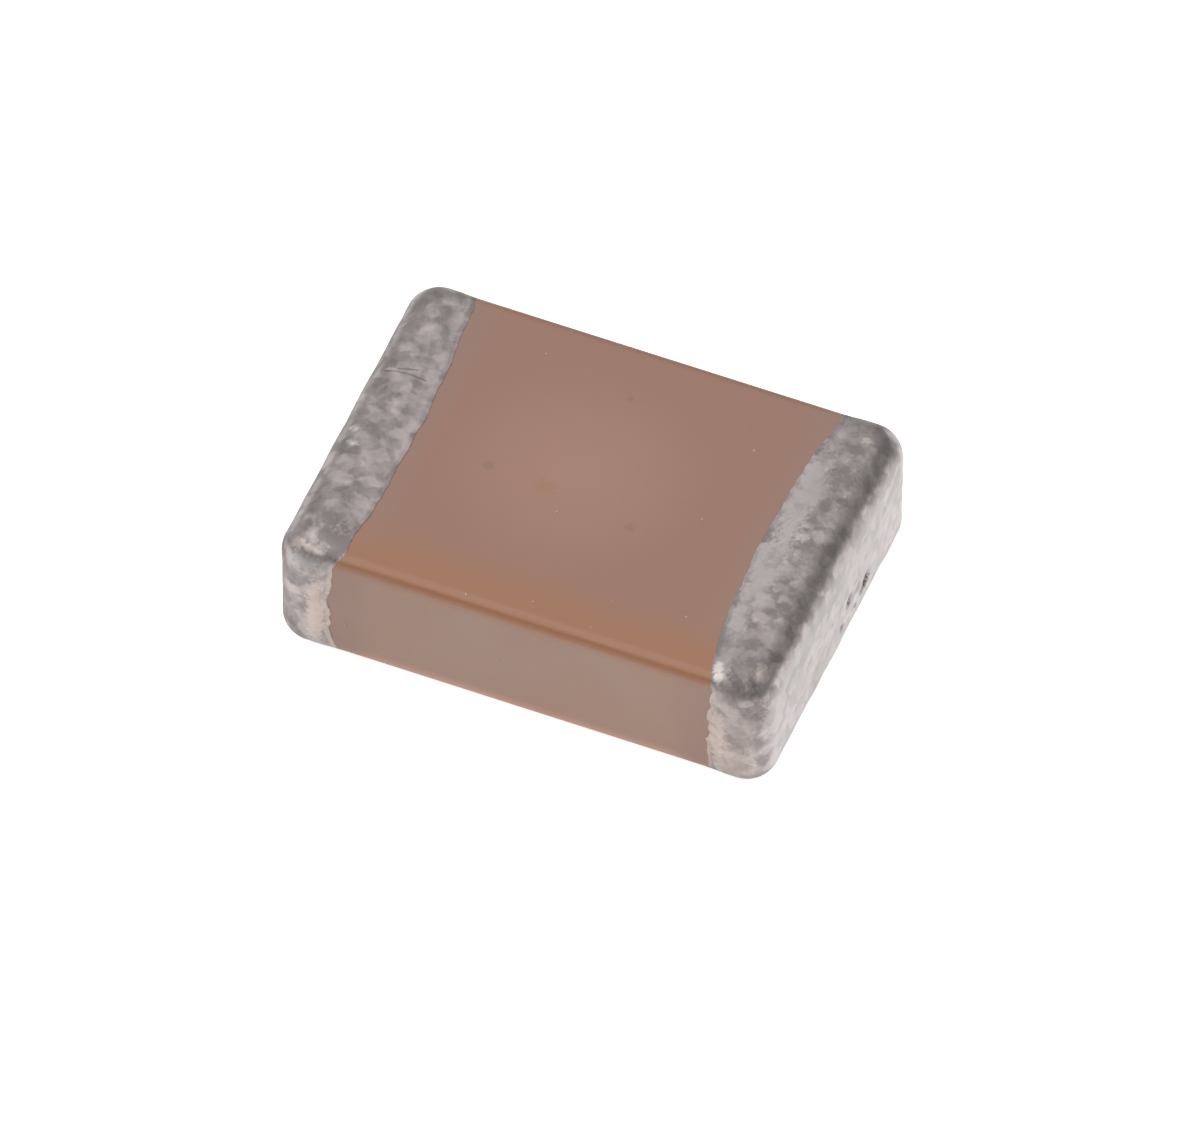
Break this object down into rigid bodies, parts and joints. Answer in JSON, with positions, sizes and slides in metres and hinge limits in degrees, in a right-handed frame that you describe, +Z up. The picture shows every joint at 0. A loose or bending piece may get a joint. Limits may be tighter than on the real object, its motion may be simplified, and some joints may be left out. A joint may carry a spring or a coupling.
{
  "type": "surface mount ceramic capacitor",
  "caption": "Flat rectangular brown ceramic chip capacitor with a dull tinned metal termination wrapped round each end, for soldering flat to a circuit board.",
  "frame": {"origin": "centre of the footprint, on the plane of the solder faces", "axes": "+X from the left termination to the right one, +Y across the width, +Z up from the board"},
  "size_m": [0.0046, 0.0032, 0.0014],
  "materials": {
    "ceramic": "fired, unglazed, semi-matte",
    "tin": "dull matte tin plate"
  },
  "bodies": {
    "root": {"ceramic_body": "ceramic", "left_termination": "tin", "right_termination": "tin"}
  },
  "joints": []
}
